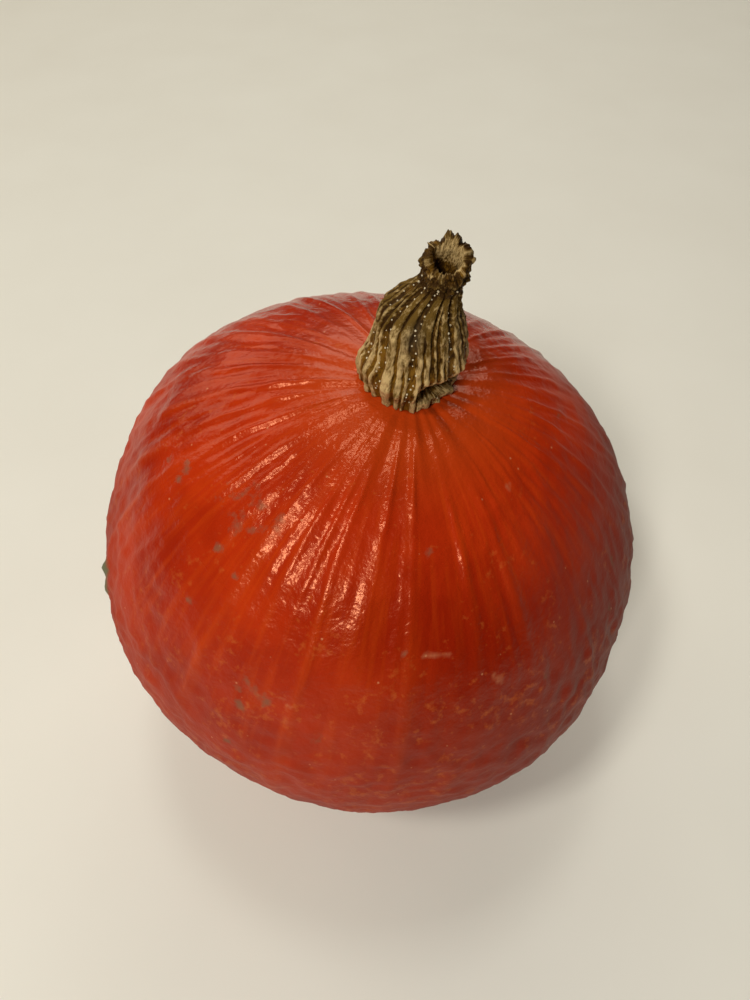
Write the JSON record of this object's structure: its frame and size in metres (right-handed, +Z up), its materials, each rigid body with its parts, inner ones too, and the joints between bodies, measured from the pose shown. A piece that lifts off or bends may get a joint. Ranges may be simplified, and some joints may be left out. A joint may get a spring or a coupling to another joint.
{
  "type": "pumpkin",
  "caption": "Small round orange winter squash with fine ribs over its shoulders and a dried, ridged, hollow stem, resting on a small flat spot.",
  "frame": {"origin": "centre of the small flat spot on the underside that the fruit rests on", "axes": "+Z up from the surface it rests on; +X to the right, the way the stem leans; -Y towards the front, where the ribs show best. The fruit's own axis leans 6.5 degrees to +X and 3.5 degrees to -Y from +Z"},
  "size_m": [0.1645, 0.165, 0.1836],
  "materials": {
    "skin": "satin",
    "cork": "matte"
  },
  "bodies": {
    "root": {"fruit": "skin", "stem": "cork"}
  },
  "joints": []
}
